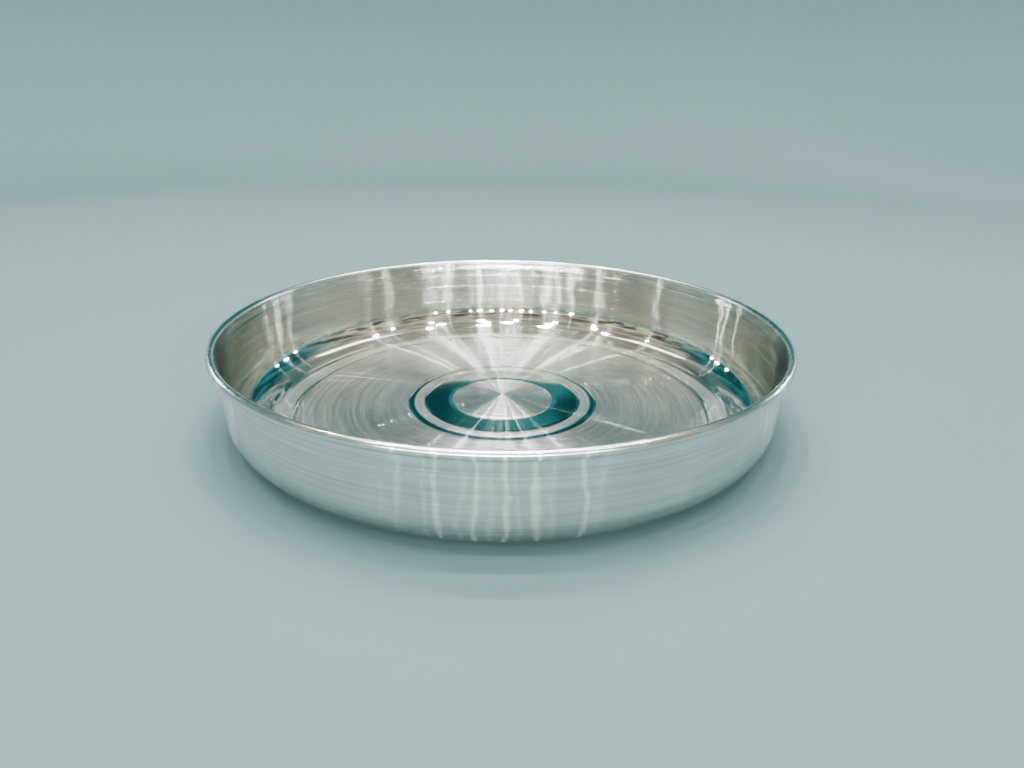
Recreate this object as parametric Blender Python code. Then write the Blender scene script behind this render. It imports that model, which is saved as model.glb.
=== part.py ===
"""Offering plate: a round spun-metal dish with a wired, curled rim.

The dish is one sheet of metal. Its floor is slightly crowned, with a low conical boss in the
middle, so that it stands on a narrow flat foot ring. A rounded corner turns the sheet up into a
nearly upright wall, and at the top the sheet is curled outwards around a ring of steel wire, which
stiffens the edge. The curl stops short of the wall and leaves a narrow seam all the way round.

Frame: metres, +Z up, origin on the axis at the level that the plate stands on.
"""

import math

import bmesh
import bpy

# Driving dimensions, in metres.
RIM_DIAMETER = 0.305          # over the outside of the curled rim
OVERALL_HEIGHT = 0.0494       # from the foot ring to the top of the curl
SHEET = 0.0008                # thickness of the sheet metal

CURL_RADIUS = 0.00215         # outside radius of the curl's round section
CURL_SWEEP = math.radians(306.0)
WIRE_RADIUS = 0.0010          # the wire lies in the middle of the curl

WALL_FOOT_RADIUS = 0.1472     # outside of the wall where the corner ends
WALL_TOP_RADIUS = 0.1480      # outside of the wall just under the neck
NECK_HEIGHT = 0.0050          # the short stretch where the wall steps out into the curl
CORNER_RADIUS = 0.0175        # outside radius between the floor and the wall
CROWN_RADIUS = 0.1261         # edge of the crowned part of the floor
CROWN_RISE = 0.0037           # how far the crown alone lifts the middle of the floor
BOSS_RADIUS = 0.02835         # edge of the low boss in the middle of the floor
BOSS_RISE = 0.0024            # how far the boss stands above the crown
BOSS_ROUNDING = 0.18          # how blunt the boss's tip is, as a share of its radius

# Mesh fineness.
SEGMENTS = 64
BOSS_STEPS = 4
CROWN_STEPS = 4
CORNER_STEPS = 6
NECK_STEPS = 3
CURL_STEPS = 17
WIRE_STEPS = 12

# Worked out from the driving dimensions.
HALF_SHEET = SHEET / 2
CURL_CENTRE_X = RIM_DIAMETER / 2 - CURL_RADIUS
CURL_CENTRE_Z = OVERALL_HEIGHT - CURL_RADIUS
CURL_MEAN_RADIUS = CURL_RADIUS - HALF_SHEET
CORNER_CENTRE_X = WALL_FOOT_RADIUS - CORNER_RADIUS
WALL_RUN = CURL_CENTRE_Z - NECK_HEIGHT - CORNER_RADIUS
DRAFT = math.atan2(WALL_TOP_RADIUS - WALL_FOOT_RADIUS, WALL_RUN)
SLOPE_REACH = 0.0001          # half the distance over which a slope is measured
MERGE_DISTANCE = 0.00001


def clear_scene():
    for obj in list(bpy.data.objects):
        bpy.data.objects.remove(obj, do_unlink=True)


def metal(name, colour, roughness):
    material = bpy.data.materials.new(name)
    material.use_nodes = True
    shader = material.node_tree.nodes["Principled BSDF"]
    shader.inputs["Base Color"].default_value = (*colour, 1.0)
    shader.inputs["Metallic"].default_value = 1.0
    shader.inputs["Roughness"].default_value = roughness
    material.diffuse_color = (*colour, 1.0)
    return material


def arc(centre_x, centre_z, radius, start, end, steps):
    """Points and headings along an arc; angles are measured from +X towards +Z."""
    turn = 1.0 if end > start else -1.0
    stations = []
    for step in range(steps + 1):
        angle = start + (end - start) * step / steps
        point = (centre_x + radius * math.cos(angle), centre_z + radius * math.sin(angle))
        heading = (-turn * math.sin(angle), turn * math.cos(angle))
        stations.append((point, heading))
    return stations


def floor_height(radius):
    """Height of the middle of the sheet in the raised part of the floor."""
    height = HALF_SHEET + CROWN_RISE * (1 - (radius / CROWN_RADIUS) ** 2)
    if radius < BOSS_RADIUS:
        edge = math.hypot(1.0, BOSS_ROUNDING)
        here = math.hypot(radius / BOSS_RADIUS, BOSS_ROUNDING)
        height += BOSS_RISE * (edge - here) / (edge - BOSS_ROUNDING)
    return height


def raised_floor():
    """The boss and the crown, from the axis out to the foot ring."""
    boss = [BOSS_RADIUS * step / BOSS_STEPS for step in range(BOSS_STEPS)]
    crown_run = CROWN_RADIUS - BOSS_RADIUS
    crown = [BOSS_RADIUS + crown_run * step / CROWN_STEPS for step in range(CROWN_STEPS)]
    stations = []
    for radius in boss + crown:
        slope = 0.0
        if radius > 0:
            rise = floor_height(radius + SLOPE_REACH) - floor_height(radius - SLOPE_REACH)
            slope = rise / (2 * SLOPE_REACH)
        length = math.hypot(1.0, slope)
        stations.append(((radius, floor_height(radius)), (1.0 / length, slope / length)))
    return stations


def foot():
    """The flat ring that the plate stands on."""
    return [
        ((CROWN_RADIUS, HALF_SHEET), (1.0, 0.0)),
        ((CORNER_CENTRE_X, HALF_SHEET), (1.0, 0.0)),
    ]


def corner():
    mean_radius = CORNER_RADIUS - HALF_SHEET
    return arc(CORNER_CENTRE_X, CORNER_RADIUS, mean_radius, math.radians(-90.0), -DRAFT, CORNER_STEPS)


def neck():
    """The S-shaped step from the top of the wall out to the start of the curl."""
    start_x = WALL_TOP_RADIUS - HALF_SHEET
    start_z = CURL_CENTRE_Z - NECK_HEIGHT
    end_x = CURL_CENTRE_X - CURL_MEAN_RADIUS
    stations = []
    for step in range(NECK_STEPS):
        share = step / NECK_STEPS
        eased = share * share * (3 - 2 * share)
        slope = (end_x - start_x) * 6 * share * (1 - share) / NECK_HEIGHT
        length = math.hypot(slope, 1.0)
        point = (start_x + (end_x - start_x) * eased, start_z + NECK_HEIGHT * share)
        stations.append((point, (slope / length, 1.0 / length)))
    return stations


def curl():
    start = math.radians(180.0)
    return arc(CURL_CENTRE_X, CURL_CENTRE_Z, CURL_MEAN_RADIUS, start, start - CURL_SWEEP, CURL_STEPS)


def sheet_outline():
    """Both faces of the sheet as one chain: out along the inside, and back along the outside."""
    middle = raised_floor() + foot() + corner()[1:] + neck() + curl()
    inside = []
    outside = []
    for (x, z), (heading_x, heading_z) in middle:
        inside.append((x - HALF_SHEET * heading_z, z + HALF_SHEET * heading_x))
        outside.append((x + HALF_SHEET * heading_z, z - HALF_SHEET * heading_x))
    return inside + outside[::-1]


def turned_body(name, outline, material):
    """A solid of revolution about Z from an outline that starts and ends on the axis."""
    mesh = bpy.data.meshes.new(name)
    outline_mesh = bmesh.new()
    vertices = [outline_mesh.verts.new((x, 0.0, z)) for x, z in outline]
    for first, second in zip(vertices, vertices[1:]):
        outline_mesh.edges.new((first, second))
    outline_mesh.to_mesh(mesh)
    outline_mesh.free()
    body = bpy.data.objects.new(name, mesh)
    bpy.context.collection.objects.link(body)
    screw = body.modifiers.new("Turn", "SCREW")
    screw.axis = "Z"
    screw.angle = math.radians(360.0)
    screw.steps = SEGMENTS
    screw.render_steps = SEGMENTS
    screw.use_merge_vertices = True
    screw.merge_threshold = MERGE_DISTANCE
    screw.use_smooth_shade = True
    mesh.materials.append(material)
    return body


def make_dish():
    material = metal("polished_metal", (0.80, 0.79, 0.76), 0.12)
    return turned_body("dish", sheet_outline(), material)


def make_rim_wire():
    bpy.ops.mesh.primitive_torus_add(
        major_segments=SEGMENTS,
        minor_segments=WIRE_STEPS,
        major_radius=CURL_CENTRE_X,
        minor_radius=WIRE_RADIUS,
    )
    wire = bpy.context.object
    wire.name = "rim_wire"
    wire.data.name = "rim_wire"
    wire.location.z = CURL_CENTRE_Z
    wire.data.shade_smooth()
    wire.data.materials.append(metal("steel_wire", (0.56, 0.56, 0.57), 0.35))
    return wire


def main():
    clear_scene()
    plate = bpy.data.objects.new("offering_plate", None)
    bpy.context.collection.objects.link(plate)
    for piece in (make_dish(), make_rim_wire()):
        piece.parent = plate


main()
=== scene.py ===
"""Looks of the offering plate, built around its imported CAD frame.

The plate is turned again here as one fine mesh that stands for the CAD dish. Its inside is
finished in rings: satin turned bands with mirror-polished bands between them. Metres, +Z up.
"""

import math

import bmesh
import bpy
from mathutils import Matrix, Vector


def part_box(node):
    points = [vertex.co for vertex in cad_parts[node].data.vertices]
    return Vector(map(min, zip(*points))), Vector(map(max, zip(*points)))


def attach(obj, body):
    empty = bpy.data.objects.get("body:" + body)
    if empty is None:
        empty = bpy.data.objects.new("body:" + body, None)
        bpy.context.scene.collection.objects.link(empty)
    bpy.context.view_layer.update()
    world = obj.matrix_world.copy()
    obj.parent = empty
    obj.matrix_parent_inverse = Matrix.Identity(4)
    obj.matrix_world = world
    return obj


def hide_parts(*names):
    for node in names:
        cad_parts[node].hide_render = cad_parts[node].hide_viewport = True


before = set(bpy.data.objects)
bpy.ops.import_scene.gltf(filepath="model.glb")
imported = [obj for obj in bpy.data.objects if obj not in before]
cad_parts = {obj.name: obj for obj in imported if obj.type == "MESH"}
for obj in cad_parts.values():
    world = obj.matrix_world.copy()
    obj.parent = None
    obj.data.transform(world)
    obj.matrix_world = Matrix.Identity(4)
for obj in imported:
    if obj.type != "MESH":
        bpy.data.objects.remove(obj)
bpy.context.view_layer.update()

# The curled rim and its wire, from the frame.
DISH_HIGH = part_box("dish")[1]
WIRE_LOW, WIRE_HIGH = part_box("rim_wire")
RIM_RADIUS = DISH_HIGH.x
WIRE_RADIUS = (WIRE_HIGH.z - WIRE_LOW.z) / 2
CURL_X = WIRE_HIGH.x - WIRE_RADIUS
CURL_Z = (WIRE_HIGH.z + WIRE_LOW.z) / 2

# The sheet, as in the CAD model.
SHEET = 0.0008
HALF_SHEET = SHEET / 2
CURL_MEAN_RADIUS = RIM_RADIUS - CURL_X - HALF_SHEET
CURL_SWEEP = math.radians(306.0)
WALL_FOOT_RADIUS = 0.1472
WALL_TOP_RADIUS = 0.1480
NECK_HEIGHT = 0.0050
CORNER_RADIUS = 0.0175
CROWN_RADIUS = 0.1261
CROWN_RISE = 0.0037
BOSS_RADIUS = 0.02835
BOSS_RISE = 0.0024
BOSS_ROUNDING = 0.18
CORNER_X = WALL_FOOT_RADIUS - CORNER_RADIUS
NECK_Z = CURL_Z - NECK_HEIGHT
DRAFT = math.atan2(WALL_TOP_RADIUS - WALL_FOOT_RADIUS, NECK_Z - CORNER_RADIUS)

# Finish rings in the floor: each runs from the last one's radius out to its own.
FLOOR_RINGS = [
    (BOSS_RADIUS, "satin_boss"),
    (0.0439, "mirror_floor"),
    (0.0493, "satin_ring"),
    (0.0529, "mirror_floor"),
    (0.1138, "satin_floor"),
    (0.1170, "mirror_floor"),
    (CROWN_RADIUS, "satin_ring"),
]
GROOVE_HALF_WIDTH = 0.00016
GROOVE_DEPTH = 0.00005

# Fine lines left by the turning tool, as heights on the inside and the outside of the wall.
INNER_HAIRLINES = (0.0210, 0.0318, 0.0400, 0.0412, 0.0426)
OUTER_HAIRLINES = (0.0290, 0.0341, 0.0372, 0.0385)
HAIRLINE_HALF_WIDTH = 0.00022
HAIRLINE_DEPTH = 0.00009

# Mesh fineness.
SEGMENTS = 320
WIRE_STEPS = 20
FLOOR_STEP = 0.0026
CORNER_STEPS = 20
WALL_STEPS = 10
NECK_STEPS = 8
CURL_STEPS = 34
SLOPE_REACH = 0.0001
ON_AXIS = 1e-7


# ---------------------------------------------------------------- shape

def floor_height(radius):
    """Height of the middle of the sheet in the raised part of the floor."""
    height = HALF_SHEET + CROWN_RISE * (1 - (radius / CROWN_RADIUS) ** 2)
    if radius < BOSS_RADIUS:
        edge = math.hypot(1.0, BOSS_ROUNDING)
        here = math.hypot(radius / BOSS_RADIUS, BOSS_ROUNDING)
        height += BOSS_RISE * (edge - here) / (edge - BOSS_ROUNDING)
    return height


def heading_at(radius):
    rise = floor_height(radius + SLOPE_REACH) - floor_height(abs(radius - SLOPE_REACH))
    slope = rise / (2 * SLOPE_REACH) if radius > SLOPE_REACH else 0.0
    length = math.hypot(1.0, slope)
    return (1.0 / length, slope / length)


def floor_stations(grooved):
    """(radius, heading, depth below the surface, finish) across the raised floor."""
    stations = []
    start = 0.0
    for edge, finish in FLOOR_RINGS:
        first = start + GROOVE_HALF_WIDTH if start and grooved else start
        last = edge - GROOVE_HALF_WIDTH if grooved else edge
        steps = max(1, round((last - first) / FLOOR_STEP))
        for step in range(steps + (1 if grooved else 0)):
            radius = first + (last - first) * step / steps
            stations.append((radius, 0.0, finish))
        if grooved:
            stations.append((edge, GROOVE_DEPTH, finish))
        start = edge
    return stations


def arc(centre_x, centre_z, radius, start, end, steps):
    """Points and headings along an arc; angles are measured from +X towards +Z."""
    turn = 1.0 if end > start else -1.0
    stations = []
    for step in range(steps + 1):
        angle = start + (end - start) * step / steps
        point = (centre_x + radius * math.cos(angle), centre_z + radius * math.sin(angle))
        stations.append((point, (-turn * math.sin(angle), turn * math.cos(angle))))
    return stations


def neck():
    start_x = WALL_TOP_RADIUS - HALF_SHEET
    end_x = CURL_X - CURL_MEAN_RADIUS
    stations = []
    for step in range(NECK_STEPS):
        share = step / NECK_STEPS
        slope = (end_x - start_x) * 6 * share * (1 - share) / NECK_HEIGHT
        length = math.hypot(slope, 1.0)
        eased = share * share * (3 - 2 * share)
        point = (start_x + (end_x - start_x) * eased, NECK_Z + NECK_HEIGHT * share)
        stations.append((point, (slope / length, 1.0 / length)))
    return stations


def wall_stations(hairlines):
    """(point, heading, depth) up the straight wall, with a shallow groove at each hairline."""
    heading = (math.sin(DRAFT), math.cos(DRAFT))
    foot_x = CORNER_X + (CORNER_RADIUS - HALF_SHEET) * math.cos(DRAFT)
    foot_z = CORNER_RADIUS - (CORNER_RADIUS - HALF_SHEET) * math.sin(DRAFT)
    levels = [(foot_z + (NECK_Z - foot_z) * step / WALL_STEPS, 0.0) for step in range(1, WALL_STEPS)]
    for line in hairlines:
        levels = [level for level in levels if abs(level[0] - line) > 2 * HAIRLINE_HALF_WIDTH]
        levels += [(line - HAIRLINE_HALF_WIDTH, 0.0), (line, HAIRLINE_DEPTH),
                   (line + HAIRLINE_HALF_WIDTH, 0.0)]
    return [((foot_x + (z - foot_z) * math.tan(DRAFT), z), heading, depth) for z, depth in sorted(levels)]


def upright_stations(hairlines):
    """(point, heading, depth, part) along the foot ring, the corner, the wall, the neck and the curl."""
    corner = arc(CORNER_X, CORNER_RADIUS, CORNER_RADIUS - HALF_SHEET,
                 math.radians(-90.0), -DRAFT, CORNER_STEPS)
    curl = arc(CURL_X, CURL_Z, CURL_MEAN_RADIUS,
               math.radians(180.0), math.radians(180.0) - CURL_SWEEP, CURL_STEPS)
    stations = [((CROWN_RADIUS + GROOVE_HALF_WIDTH, HALF_SHEET), (1.0, 0.0), 0.0, "foot")]
    stations += [(point, heading, 0.0, "corner") for point, heading in corner]
    stations += [(*station, "wall") for station in wall_stations(hairlines)]
    stations += [(point, heading, 0.0, "wall") for point, heading in neck()]
    stations += [(point, heading, 0.0, "curl") for point, heading in curl]
    return stations


INSIDE_FINISH = {"foot": "mirror_foot", "corner": "mirror_foot", "wall": "mirror_wall", "curl": "bead"}
OUTSIDE_FINISH = {"foot": "underside", "corner": "outer_wall", "wall": "outer_wall", "curl": "bead"}


def outline():
    """(x, z, finish) out along the inside of the sheet, and the same out along its outside."""
    inside = []
    for radius, depth, finish in floor_stations(grooved=True):
        heading_x, heading_z = heading_at(radius)
        lift = HALF_SHEET - depth
        inside.append((radius - lift * heading_z, floor_height(radius) + lift * heading_x, finish))
    for (x, z), (heading_x, heading_z), depth, part in upright_stations(INNER_HAIRLINES):
        lift = HALF_SHEET - depth
        inside.append((x - lift * heading_z, z + lift * heading_x, INSIDE_FINISH[part]))
    outside = []
    for radius, _, _ in floor_stations(grooved=False):
        heading_x, heading_z = heading_at(radius)
        x = radius + HALF_SHEET * heading_z
        outside.append((x, floor_height(radius) - HALF_SHEET * heading_x, "underside"))
    for (x, z), (heading_x, heading_z), depth, part in upright_stations(OUTER_HAIRLINES):
        lift = HALF_SHEET - depth
        outside.append((x + lift * heading_z, z - lift * heading_x, OUTSIDE_FINISH[part]))
    return inside, outside


def turned_mesh(name, inside, outside, finishes):
    """A closed turned shell. The strip after a station takes that station's finish."""
    shell = bmesh.new()
    slots = {finish: index for index, finish in enumerate(finishes)}
    turns = [(math.cos(2 * math.pi * k / SEGMENTS), math.sin(2 * math.pi * k / SEGMENTS))
             for k in range(SEGMENTS)]

    def ring(x, z):
        if x < ON_AXIS:
            return [shell.verts.new((0.0, 0.0, z))]
        return [shell.verts.new((x * c, x * s, z)) for c, s in turns]

    def strip(low, high, finish):
        for k in range(SEGMENTS):
            after = (k + 1) % SEGMENTS
            if len(low) == 1:
                face = shell.faces.new((low[0], high[k], high[after]))
            elif len(high) == 1:
                face = shell.faces.new((low[k], high[0], low[after]))
            else:
                face = shell.faces.new((low[k], high[k], high[after], low[after]))
            face.material_index = slots[finish]
            face.smooth = True

    chain = inside + outside[::-1]
    finish_of = [finish for _, _, finish in inside] + [finish for _, _, finish in outside[-2::-1]]
    rings = [ring(x, z) for x, z, _ in chain]
    for low, high, finish in zip(rings, rings[1:], finish_of):
        strip(low, high, finish)
    mesh = bpy.data.meshes.new(name)
    shell.to_mesh(mesh)
    shell.free()
    return mesh


# ---------------------------------------------------------------- materials

class Nodes:
    """Small helper for building one material's node tree."""

    def __init__(self, name):
        self.material = bpy.data.materials.new(name)
        self.material.use_nodes = True
        self.tree = self.material.node_tree
        self.shader = self.tree.nodes["Principled BSDF"]

    def add(self, kind, **settings):
        node = self.tree.nodes.new(kind)
        for key, value in settings.items():
            setattr(node, key, value)
        return node

    def link(self, source, target):
        self.tree.links.new(source, target)

    def math(self, operation, first, second):
        node = self.add("ShaderNodeMath", operation=operation)
        for socket, value in zip(node.inputs, (first, second)):
            if isinstance(value, (int, float)):
                socket.default_value = value
            else:
                self.link(value, socket)
        return node.outputs[0]

    def lathe_place(self, across, along):
        """A noise vector with its own frequency across the turning lines and round the axis."""
        place = self.add("ShaderNodeTexCoord").outputs["Object"]
        parts = self.add("ShaderNodeSeparateXYZ")
        self.link(place, parts.inputs[0])
        flat = self.add("ShaderNodeCombineXYZ")
        self.link(parts.outputs["X"], flat.inputs["X"])
        self.link(parts.outputs["Y"], flat.inputs["Y"])
        length = self.add("ShaderNodeVectorMath", operation="LENGTH")
        self.link(flat.outputs[0], length.inputs[0])
        radius = length.outputs["Value"]
        travel = self.math("ADD", radius, parts.outputs["Z"])
        direction = self.add("ShaderNodeVectorMath", operation="NORMALIZE")
        self.link(flat.outputs[0], direction.inputs[0])
        turn = self.add("ShaderNodeVectorMath", operation="SCALE")
        self.link(direction.outputs[0], turn.inputs[0])
        turn.inputs["Scale"].default_value = along
        turned = self.add("ShaderNodeSeparateXYZ")
        self.link(turn.outputs[0], turned.inputs[0])
        result = self.add("ShaderNodeCombineXYZ")
        self.link(turned.outputs["X"], result.inputs["X"])
        self.link(turned.outputs["Y"], result.inputs["Y"])
        self.link(self.math("MULTIPLY", travel, across), result.inputs["Z"])
        return result.outputs[0]

    def noise(self, vector, scale=1.0, detail=2.0, roughness=0.5):
        node = self.add("ShaderNodeTexNoise")
        node.inputs["Scale"].default_value = scale
        node.inputs["Detail"].default_value = detail
        node.inputs["Roughness"].default_value = roughness
        self.link(vector, node.inputs["Vector"])
        return node.outputs["Fac"]

    def remap(self, value, low, high, to_low, to_high):
        node = self.add("ShaderNodeMapRange")
        self.link(value, node.inputs["Value"])
        ends = {"From Min": low, "From Max": high, "To Min": to_low, "To Max": to_high}
        for socket, number in ends.items():
            node.inputs[socket].default_value = number
        return node.outputs["Result"]

    def blend_colour(self, factor, first, second):
        node = self.add("ShaderNodeMix", data_type="RGBA")
        self.link(factor, node.inputs["Factor"])
        colours = [socket for socket in node.inputs if socket.type == "RGBA"]
        colours[0].default_value = (*first, 1.0)
        colours[1].default_value = (*second, 1.0)
        return [socket for socket in node.outputs if socket.type == "RGBA"][0]

    def bump(self, height, distance):
        node = self.add("ShaderNodeBump")
        node.inputs["Distance"].default_value = distance
        self.link(height, node.inputs["Height"])
        return node.outputs["Normal"]


SILVER = (0.92, 0.93, 0.885)
# Duller metal for the turning lines, and for the spokes, where it is partly painted sheen.
SILVER_DULL = (0.55, 0.565, 0.53)
MILLIMETRES = 1000.0          # bump heights are built in millimetres

# Frequencies of turned metal's noise: (across the lines, round the axis), or one for every way.
LINES = (1.0 / 0.0011, 1.5)
# The spokes round the axis are partly turning chatter and partly painted radial sheen in the colour.
SPOKES_AND_SHEEN = (12.0, 45.0)
CLOUD_SCALE = 28.0
WAVE_SCALE = 42.0
WIRE_LINES = (6000.0, 30.0)

WIRE_STEEL = (0.58, 0.58, 0.59)
WIRE_STEEL_DULL = (0.44, 0.44, 0.45)
WIRE_ROUGHNESS = (0.28, 0.42)
WIRE_LINES_DEEP = 0.000002

LINES_AND_SPOKE_SHEEN_SHARE = 0.7    # of the unevenness; the cloud makes up the rest
UNEVEN_ROUGHNESS = 0.2        # how far unevenness takes the roughness up or down
DULL_FROM, DULL_TO = 0.36, 0.62

# The lobe that draws a lamp out into a long thin streak.
STREAK_ROUGHNESS = 0.20
STREAK_ANISOTROPY = 0.93
STREAK_LINES_SHARE = 0.25     # how much of the lines' depth it follows

# roughness and metallic are the shader's own. lines_deep and waves_deep are the heights, in
# metres, of the turning lines and of the sheet's slow waves. streaked is the streak lobe's share.
# marked is how much the lines and spokes show as duller metal. The spokes' share is how much of the
# unevenness runs in
# spokes round the axis: partly chatter from the turning, partly painted radial sheen in the colour. smear is
# how one-sided the gloss is.
PLAIN_FINISH = {"metallic": 1.0, "spokes_and_sheen_share": 0.15, "waves_deep": 0.0, "marked": 1.0, "smear": 1.0}
FINISHES = {
    "satin_boss": {"roughness": 0.18, "lines_deep": 0.00024, "metallic": 0.84, "spokes_and_sheen_share": 0.4,
                   "streaked": 0.35},
    "satin_ring": {"roughness": 0.20, "lines_deep": 0.00034, "metallic": 0.70, "streaked": 0.25},
    "satin_floor": {"roughness": 0.17, "lines_deep": 0.00032, "metallic": 0.77, "streaked": 0.35},
    "mirror_floor": {"roughness": 0.06, "lines_deep": 0.000006, "streaked": 0.06, "marked": 0.25},
    "mirror_foot": {"roughness": 0.07, "lines_deep": 0.000008, "waves_deep": 0.0002, "streaked": 0.10,
                    "marked": 0.2},
    "mirror_wall": {"roughness": 0.13, "lines_deep": 0.000150, "waves_deep": 0.0006, "streaked": 0.5,
                    "marked": 0.5},
    "bead": {"roughness": 0.26, "lines_deep": 0.000020, "streaked": 0.1, "marked": 0.5, "smear": 0.5},
    "outer_wall": {"roughness": 0.14, "lines_deep": 0.000100, "waves_deep": 0.0006, "streaked": 0.06,
                   "marked": 0.6},
    "underside": {"roughness": 0.26, "lines_deep": 0.000060, "streaked": 0.3},
}


def turned_metal(name, roughness, metallic, lines_deep, waves_deep, streaked, marked, spokes_and_sheen_share, smear):
    """Metal turned on a lathe: its lines run round the axis and smear reflections across them."""
    m = Nodes(name)
    shader = m.shader
    shader.inputs["Metallic"].default_value = metallic
    shader.inputs["Anisotropic"].default_value = smear
    shader.inputs["Anisotropic Rotation"].default_value = 0.25
    tangent = m.add("ShaderNodeTangent", direction_type="RADIAL", axis="Z")
    m.link(tangent.outputs[0], shader.inputs["Tangent"])

    place = m.add("ShaderNodeTexCoord").outputs["Object"]
    lines = m.noise(m.lathe_place(*LINES), detail=4.0, roughness=0.62)
    # Spokes round the axis: partly the turning's chatter, partly painted radial sheen that stands in for
    # lamp streaks.
    spokes_and_sheen = m.noise(m.lathe_place(*SPOKES_AND_SHEEN), detail=3.0, roughness=0.7)
    cloud = m.noise(place, scale=CLOUD_SCALE, detail=4.0, roughness=0.6)
    uneven_and_sheen = m.math("ADD", m.math("MULTIPLY", lines, LINES_AND_SPOKE_SHEEN_SHARE - spokes_and_sheen_share),
                    m.math("MULTIPLY", cloud, 1.0 - LINES_AND_SPOKE_SHEEN_SHARE))
    uneven_and_sheen = m.math("ADD", uneven_and_sheen, m.math("MULTIPLY", spokes_and_sheen, spokes_and_sheen_share))
    smoothest, roughest = roughness * (1 - UNEVEN_ROUGHNESS), roughness * (1 + UNEVEN_ROUGHNESS)
    m.link(m.remap(uneven_and_sheen, 0.3, 0.7, smoothest, roughest), shader.inputs["Roughness"])
    # The colour dulls along the lines and the spokes, so part of this pattern is painted radial sheen.
    colour = m.blend_colour(m.remap(uneven_and_sheen, DULL_FROM, DULL_TO, 0.0, marked), SILVER, SILVER_DULL)
    m.link(colour, shader.inputs["Base Color"])

    height = m.math("MULTIPLY", lines, lines_deep * MILLIMETRES)
    waves = m.math("MULTIPLY", m.noise(place, scale=WAVE_SCALE, detail=1.6), waves_deep * MILLIMETRES)
    m.link(m.bump(m.math("ADD", height, waves), 1 / MILLIMETRES), shader.inputs["Normal"])

    streaks = m.add("ShaderNodeBsdfAnisotropic")
    m.link(colour, streaks.inputs["Color"])
    streaks.inputs["Roughness"].default_value = STREAK_ROUGHNESS
    streaks.inputs["Anisotropy"].default_value = STREAK_ANISOTROPY
    m.link(tangent.outputs[0], streaks.inputs["Tangent"])
    streak_height = m.math("ADD", m.math("MULTIPLY", height, STREAK_LINES_SHARE), waves)
    m.link(m.bump(streak_height, 1 / MILLIMETRES), streaks.inputs["Normal"])
    surface = m.add("ShaderNodeMixShader")
    surface.inputs[0].default_value = streaked
    m.link(shader.outputs[0], surface.inputs[1])
    m.link(streaks.outputs[0], surface.inputs[2])
    m.link(surface.outputs[0], m.tree.nodes["Material Output"].inputs["Surface"])
    m.material.diffuse_color = (*SILVER, 1.0)
    return m.material


def drawn_wire():
    m = Nodes("drawn_wire")
    m.shader.inputs["Metallic"].default_value = 1.0
    lines = m.noise(m.lathe_place(*WIRE_LINES), detail=2.0)
    m.link(m.remap(lines, 0.3, 0.7, *WIRE_ROUGHNESS), m.shader.inputs["Roughness"])
    m.link(m.blend_colour(lines, WIRE_STEEL, WIRE_STEEL_DULL), m.shader.inputs["Base Color"])
    m.link(m.bump(lines, WIRE_LINES_DEEP), m.shader.inputs["Normal"])
    return m.material


# ---------------------------------------------------------------- pieces

def make_dish():
    materials = {name: turned_metal(name, **{**PLAIN_FINISH, **finish}) for name, finish in FINISHES.items()}
    inside, outside = outline()
    mesh = turned_mesh("turned_dish", inside, outside, list(materials))
    for material in materials.values():
        mesh.materials.append(material)
    dish = bpy.data.objects.new("turned_dish", mesh)
    bpy.context.collection.objects.link(dish)
    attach(dish, "root")
    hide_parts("dish")


def make_wire():
    bpy.ops.mesh.primitive_torus_add(
        major_segments=SEGMENTS, minor_segments=WIRE_STEPS, major_radius=CURL_X, minor_radius=WIRE_RADIUS)
    wire = bpy.context.object
    wire.name = "bead_wire"
    wire.location.z = CURL_Z
    wire.data.shade_smooth()
    wire.data.materials.append(drawn_wire())
    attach(wire, "root")
    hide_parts("rim_wire")


# ---------------------------------------------------------------- stage, light and camera

PAPER = (0.20, 0.29, 0.30)
STAGE_RADIUS = 1.3
STAGE_RINGS = (0.0, 0.3, 0.6)     # rings in the flat part, as shares of the radius
STAGE_SWEEP = 0.30
STAGE_TOP = 0.42
STAGE_SEGMENTS = 128
STAGE_STEPS = 12


def stage_paper():
    m = Nodes("stage_paper")
    m.shader.inputs["Base Color"].default_value = (*PAPER, 1.0)
    m.shader.inputs["Roughness"].default_value = 0.85
    return m.material


def make_stage():
    """A round floor whose edge sweeps up into a low backdrop on every side."""
    profile = [(STAGE_RADIUS * share, 0.0) for share in STAGE_RINGS]
    for step in range(STAGE_STEPS + 1):
        angle = math.radians(90.0 * step / STAGE_STEPS)
        profile.append((STAGE_RADIUS - STAGE_SWEEP + STAGE_SWEEP * math.sin(angle),
                        STAGE_SWEEP - STAGE_SWEEP * math.cos(angle)))
    profile.append((STAGE_RADIUS, STAGE_TOP))
    shell = bmesh.new()
    corners = [shell.verts.new((x, 0.0, z)) for x, z in profile]
    edges = [shell.edges.new(pair) for pair in zip(corners, corners[1:])]
    bmesh.ops.spin(shell, geom=corners + edges, cent=(0, 0, 0), axis=(0, 0, 1),
                   angle=math.radians(360.0), steps=STAGE_SEGMENTS, use_merge=True)
    bmesh.ops.remove_doubles(shell, verts=shell.verts, dist=0.0001)
    bmesh.ops.recalc_face_normals(shell, faces=shell.faces)
    mesh = bpy.data.meshes.new("stage")
    shell.to_mesh(mesh)
    shell.free()
    mesh.shade_smooth()
    mesh.materials.append(stage_paper())
    stage = bpy.data.objects.new("stage", mesh)
    bpy.context.collection.objects.link(stage)


def area_light(name, place, size, power, colour=(1.0, 1.0, 1.0)):
    """A lamp that faces the plate and that the camera can't see."""
    light = bpy.data.lights.new(name, "AREA")
    light.shape = "RECTANGLE"
    light.size, light.size_y = size
    light.energy = power
    light.color = colour
    lamp = bpy.data.objects.new(name, light)
    lamp.location = place
    lamp.rotation_euler = (Vector() - Vector(place)).to_track_quat("-Z", "Y").to_euler()
    lamp.visible_camera = False
    bpy.context.collection.objects.link(lamp)


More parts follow.
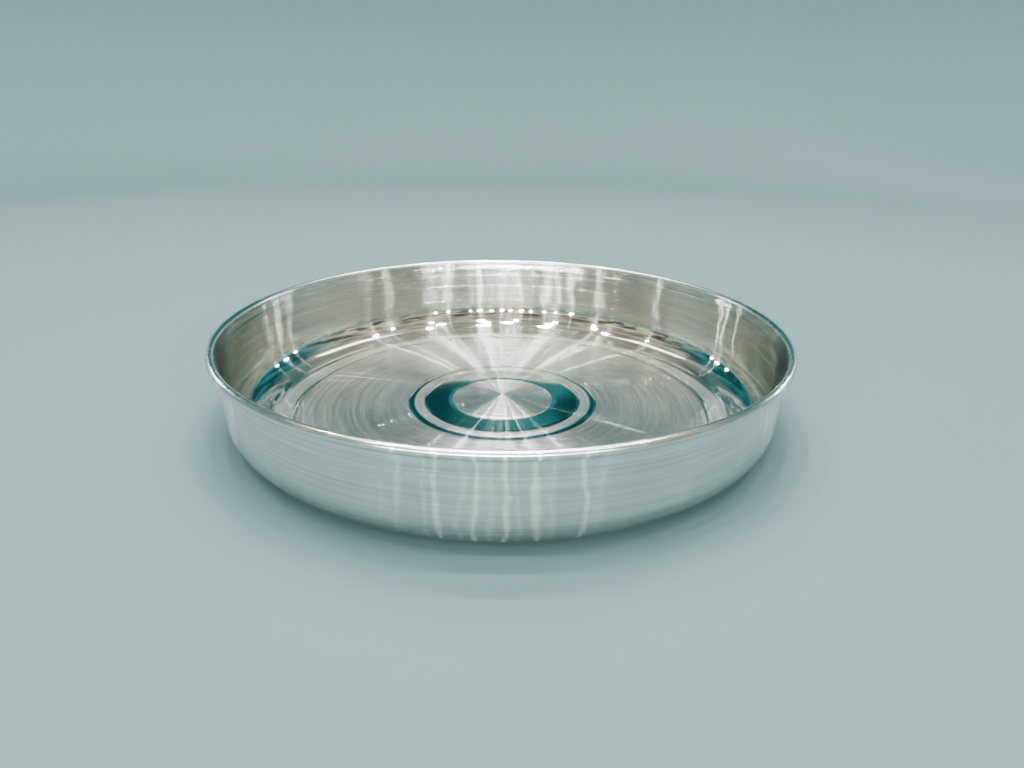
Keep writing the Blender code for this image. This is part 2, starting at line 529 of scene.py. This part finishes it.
# Small lamps hang in rows: the row's y and height, the lamps' power, and each one's x.
LAMP_SIZE = 0.036
LAMP_ROWS = [
    (-0.40, 1.7, 2.4, (-0.95, -0.48, -0.10, 0.20, 0.70)),
    (0.00, 1.7, 2.4, (-0.70, -0.30, -0.03, 0.11, 0.42, 0.98)),
    (0.50, 1.7, 2.4, (-1.05, -0.52, -0.17, 0.07, 0.32, 0.76)),
    (-1.6, 0.65, 3.4, (-1.15, -0.62, -0.24, 0.05, 0.38, 0.90)),
    (-1.7, 0.72, 1.4, (-0.86, -0.42, -0.10, 0.20, 0.56, 1.25)),
    (0.90, 0.62, 1.1, (-1.45, -1.15, 1.05, 1.60)),
    (1.25, 0.68, 0.7, (-1.30, 1.20)),
]


# The world's patches, each as its dark and its bright colour, and the plain colour the camera sees.
ROOM = ((0.10, 0.08, 0.055), (0.78, 0.74, 0.61))
AHEAD = ((0.018, 0.09, 0.10), (0.06, 0.26, 0.28))
CEILING = ((0.24, 0.23, 0.20), (0.56, 0.55, 0.50))
BEYOND_STAGE = (0.26, 0.36, 0.365)
PATCH_SCALE = 7.0


def studio_world():
    """A room behind the camera, a ceiling and a dark far side, which the camera sees only in reflections."""
    world = bpy.data.worlds.new("studio")
    world.use_nodes = True
    tree = world.node_tree
    background = tree.nodes["Background"]
    place = tree.nodes.new("ShaderNodeTexCoord")
    parts = tree.nodes.new("ShaderNodeSeparateXYZ")
    tree.links.new(place.outputs["Generated"], parts.inputs[0])

    def share(source, start, end):
        node = tree.nodes.new("ShaderNodeMapRange")
        node.interpolation_type = "SMOOTHSTEP"
        tree.links.new(source, node.inputs["Value"])
        node.inputs["From Min"].default_value = start
        node.inputs["From Max"].default_value = end
        return node.outputs["Result"]

    def mix(factor, first, second):
        node = tree.nodes.new("ShaderNodeMix")
        node.data_type = "RGBA"
        tree.links.new(factor, node.inputs["Factor"])
        sockets = [socket for socket in node.inputs if socket.type == "RGBA"]
        for socket, value in zip(sockets, (first, second)):
            if isinstance(value, tuple):
                socket.default_value = (*value, 1.0)
            else:
                tree.links.new(value, socket)
        return [socket for socket in node.outputs if socket.type == "RGBA"][0]

    patches = tree.nodes.new("ShaderNodeTexNoise")
    tree.links.new(place.outputs["Generated"], patches.inputs["Vector"])
    patches.inputs["Scale"].default_value = PATCH_SCALE
    patches.inputs["Detail"].default_value = 2.0
    patch = share(patches.outputs["Fac"], 0.38, 0.62)
    sides = mix(share(parts.outputs["Y"], -0.2, 0.5), mix(patch, *ROOM), mix(patch, *AHEAD))
    surroundings = mix(share(parts.outputs["Z"], 0.58, 0.78), sides, mix(patch, *CEILING))
    seen = tree.nodes.new("ShaderNodeLightPath").outputs["Is Camera Ray"]
    tree.links.new(mix(seen, surroundings, BEYOND_STAGE), background.inputs["Color"])
    background.inputs["Strength"].default_value = 1.0
    bpy.context.scene.world = world


def make_lights():
    area_light("overhead", (0.0, 1.0, 1.6), (1.2, 0.5), 7.0, (1.0, 0.98, 0.95))
    for row, (y, height, power, places) in enumerate(LAMP_ROWS):
        for number, x in enumerate(places):
            area_light(f"lamp_{row}_{number}", (x, y, height), (LAMP_SIZE, LAMP_SIZE), power)
    studio_world()


CAMERA_PLACE = Vector((0.0054, -0.3868, 0.1734))
CAMERA_PITCH = 0.393
CAMERA_ROLL = 0.01365
CAMERA_LENS = 26.0


def make_camera():
    camera_data = bpy.data.cameras.new("camera")
    camera_data.lens = CAMERA_LENS
    camera_data.clip_start = 0.01
    camera = bpy.data.objects.new("camera", camera_data)
    turn = Matrix.Rotation(math.pi / 2 - CAMERA_PITCH, 4, "X") @ Matrix.Rotation(CAMERA_ROLL, 4, "Z")
    camera.matrix_world = Matrix.Translation(CAMERA_PLACE) @ turn
    bpy.context.collection.objects.link(camera)
    bpy.context.scene.camera = camera


bpy.context.scene.view_settings.look = "AgX - High Contrast"
bpy.context.scene.view_settings.exposure = -0.25
make_camera()
make_dish()
make_wire()
make_stage()
make_lights()
